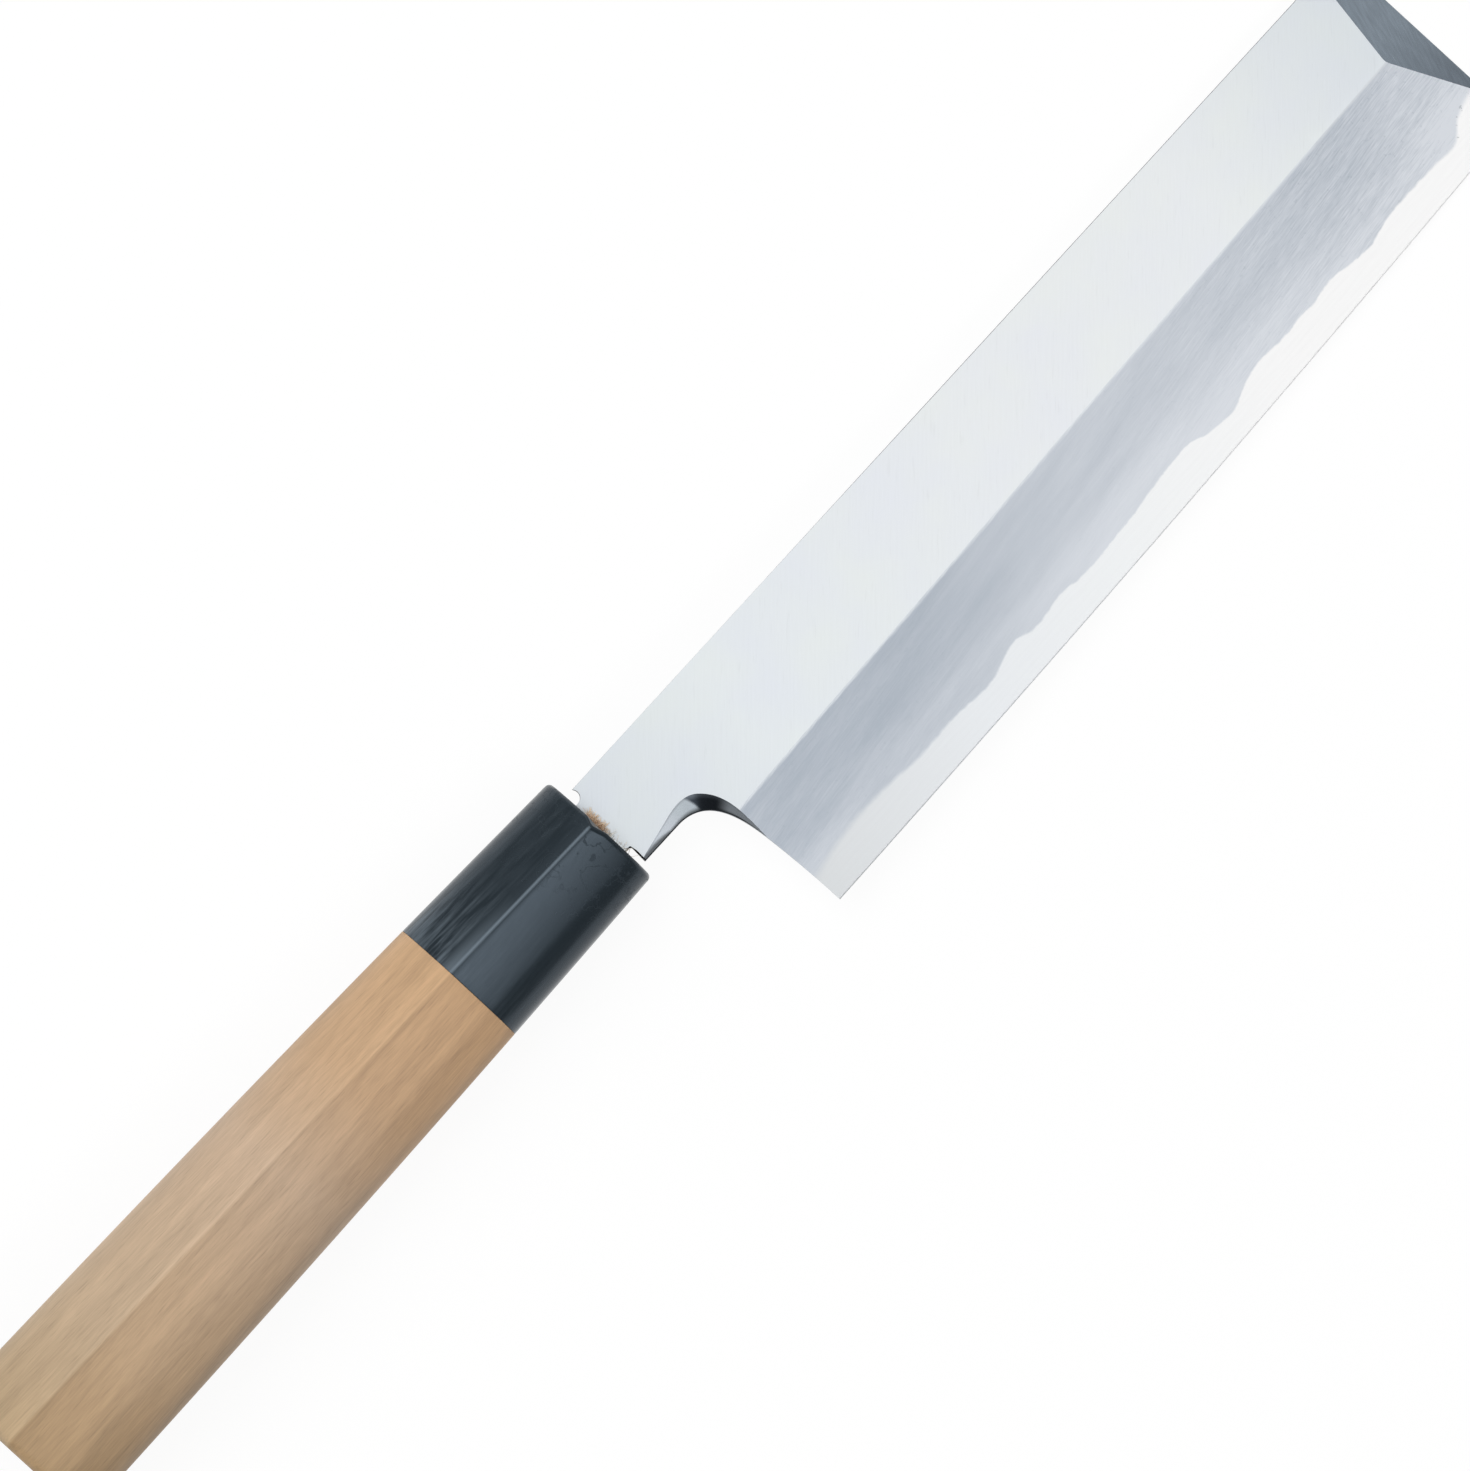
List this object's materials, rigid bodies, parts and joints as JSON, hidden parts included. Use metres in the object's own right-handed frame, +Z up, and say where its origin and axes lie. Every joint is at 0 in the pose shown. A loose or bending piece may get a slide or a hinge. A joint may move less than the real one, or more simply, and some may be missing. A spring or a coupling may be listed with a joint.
{
  "type": "usuba knife",
  "caption": "Right-handed single-bevel usuba vegetable knife with a square tip, laminated blade, horn ferrule and ridged wooden handle.",
  "frame": {"origin": "under the middle of the knife's box, on the table that it lies on", "axes": "+X along the knife towards the tip, +Y towards the spine, +Z up out of the bevelled face; the blade's flat back faces down"},
  "size_m": [0.3438, 0.0544, 0.0274],
  "materials": {
    "soft_iron": "ground flat with fine slanting lines, hazy bevel",
    "hard_steel": "bright fine-stoned edge band, hollow-ground back",
    "horn": "polished blue-black buffalo horn",
    "magnolia_wood": "sanded bare wood",
    "packing_fibre": "loose plant fibre"
  },
  "bodies": {
    "root": {"blade_iron": "soft_iron", "edge_steel": "hard_steel", "ferrule": "horn", "handle_grip": "magnolia_wood", "tang_packing": "packing_fibre"}
  },
  "joints": []
}
